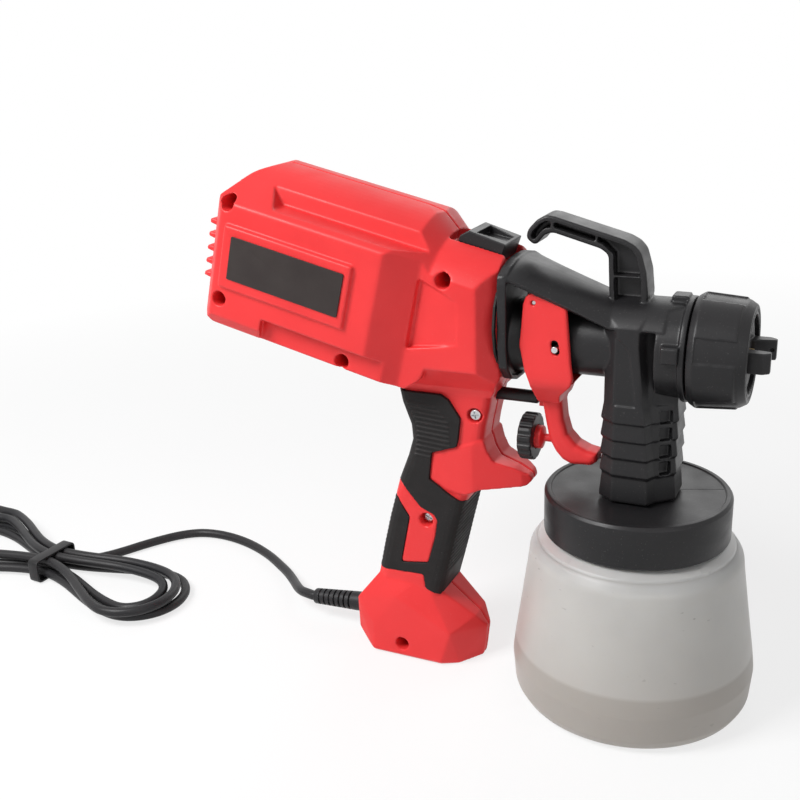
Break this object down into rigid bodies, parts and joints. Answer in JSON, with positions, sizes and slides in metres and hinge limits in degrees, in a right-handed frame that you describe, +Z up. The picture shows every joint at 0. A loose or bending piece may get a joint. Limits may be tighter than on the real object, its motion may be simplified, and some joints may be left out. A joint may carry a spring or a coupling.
{
  "type": "handheld turbine paint sprayer",
  "caption": "Handheld electric paint sprayer: pistol-grip motor and fan unit, twist-on spray head with trigger, air cap and screw-on paint container, and a mains lead.",
  "frame": {"origin": "centre of the container's base, on the surface that the container and the handle's foot stand on", "axes": "+X forward along the nozzle, +Z up, +Y to the left seen from behind the sprayer"},
  "size_m": [0.6229, 0.1285, 0.2705],
  "materials": {
    "red_plastic": "satin moulded nylon, saturated red",
    "black_plastic": "satin moulded nylon, black",
    "rubber": "matt overmoulded rubber",
    "milky_plastic": "translucent milky polyethylene",
    "label": "plain dark film, left bare",
    "filter_foam": "open foam",
    "fan_plastic": "moulded",
    "steel": "bright zinc plated",
    "copper": "enamelled copper",
    "brass": "turned brass",
    "cord_pvc": "satin black PVC"
  },
  "bodies": {
    "motor_unit": {"housing_right": "red_plastic", "housing_left": "red_plastic", "label_plate": "label", "grip_rubber": "rubber", "housing_screw_1": "steel", "housing_screw_2": "steel", "housing_screw_3": "steel", "housing_screw_4": "steel", "housing_screw_5": "steel", "housing_screw_6": "steel", "housing_screw_7": "steel", "rear_filter": "filter_foam", "fan_shroud": "black_plastic", "mount_rear": "black_plastic", "mount_front": "black_plastic", "bearing_rear": "steel", "bearing_front": "steel", "stator": "steel", "winding_rear": "copper", "winding_front": "copper", "brush_holder_right": "brass", "brush_holder_left": "brass", "switch_body": "black_plastic", "plunger_spring": "steel", "strain_relief": "cord_pvc", "cable_clamp": "black_plastic", "coupling_seal": "rubber", "cord": "cord_pvc", "cord_hank": "cord_pvc", "hank_tie": "black_plastic", "plug": "cord_pvc"},
    "rotor": {"armature": "steel", "commutator": "copper", "fan_rear": "fan_plastic", "fan_front": "fan_plastic"},
    "latch": {"latch_slider": "black_plastic"},
    "plunger": {"switch_plunger": "black_plastic"},
    "spray_head": {"head_body": "black_plastic", "trigger_pin": "steel", "needle_spring": "steel", "needle_packing": "brass", "fluid_tip": "brass", "lid": "black_plastic", "lid_gasket": "rubber", "pressure_valve": "rubber", "suction_tube": "black_plastic"},
    "trigger": {"trigger": "red_plastic"},
    "flow_control": {"flow_knob": "black_plastic", "flow_knob_hub": "red_plastic"},
    "needle": {"needle": "steel", "needle_link_pin": "steel"},
    "nut": {"nozzle_nut": "black_plastic"},
    "cap": {"air_cap": "black_plastic"},
    "container": {"container": "milky_plastic"}
  },
  "joints": [
    {"name": "rotor_spin", "type": "hinge", "parent": "motor_unit", "child": "rotor", "pos_m": [-0.15246, 0, 0.21647], "axis": [0.9707, 0, -0.2402], "continuous": true},
    {"name": "latch_slide", "type": "slide", "parent": "motor_unit", "child": "latch", "axis": [-0.9439, 0, 0.3304], "range_m": [0, 0.004], "stiffness_N_per_m": 400, "springref_m": -0.002},
    {"name": "plunger_slide", "type": "slide", "parent": "motor_unit", "child": "plunger", "axis": [-1, 0, 0], "range_m": [0, 0.0066], "stiffness_N_per_m": 200, "springref_m": -0.003, "deforming": ["plunger_spring"]},
    {"name": "head_twist", "type": "hinge", "parent": "motor_unit", "child": "spray_head", "pos_m": [-0.065, 0, 0.1972], "axis": [1, 0, 0], "range_deg": [0, 40]},
    {"name": "trigger_pull", "type": "hinge", "parent": "spray_head", "child": "trigger", "pos_m": [-0.0481, 0, 0.21], "axis": [0, 1, 0], "range_deg": [0, 7], "stiffness_Nm_per_rad": 1.5, "springref_deg": -2.86},
    {"name": "flow_knob_turn", "type": "hinge", "parent": "trigger", "child": "flow_control", "pos_m": [-0.0555, 0, 0.1346], "axis": [1, 0, 0], "range_deg": [-180, 180]},
    {"name": "needle_slide", "type": "slide", "parent": "spray_head", "child": "needle", "axis": [-1, 0, 0], "range_m": [0, 0.0027], "stiffness_N_per_m": 400, "springref_m": -0.003, "deforming": ["needle_spring"]},
    {"name": "nozzle_nut_turn", "type": "hinge", "parent": "spray_head", "child": "nut", "pos_m": [0.036, 0, 0.1883], "axis": [1, 0, 0], "range_deg": [0, 270]},
    {"name": "air_cap_turn", "type": "hinge", "parent": "spray_head", "child": "cap", "pos_m": [0.045, 0, 0.1883], "axis": [1, 0, 0], "range_deg": [0, 90]},
    {"name": "container_turn", "type": "hinge", "parent": "spray_head", "child": "container", "pos_m": [0, 0, 0.1], "axis": [0, 0, 1], "range_deg": [-90, 0]}
  ],
  "couplings": [
    {"joint": "needle_slide", "follows": "trigger_pull", "m_per_rad": 0.0217},
    {"joint": "plunger_slide", "follows": "trigger_pull", "m_per_rad": 0.0535}
  ]
}
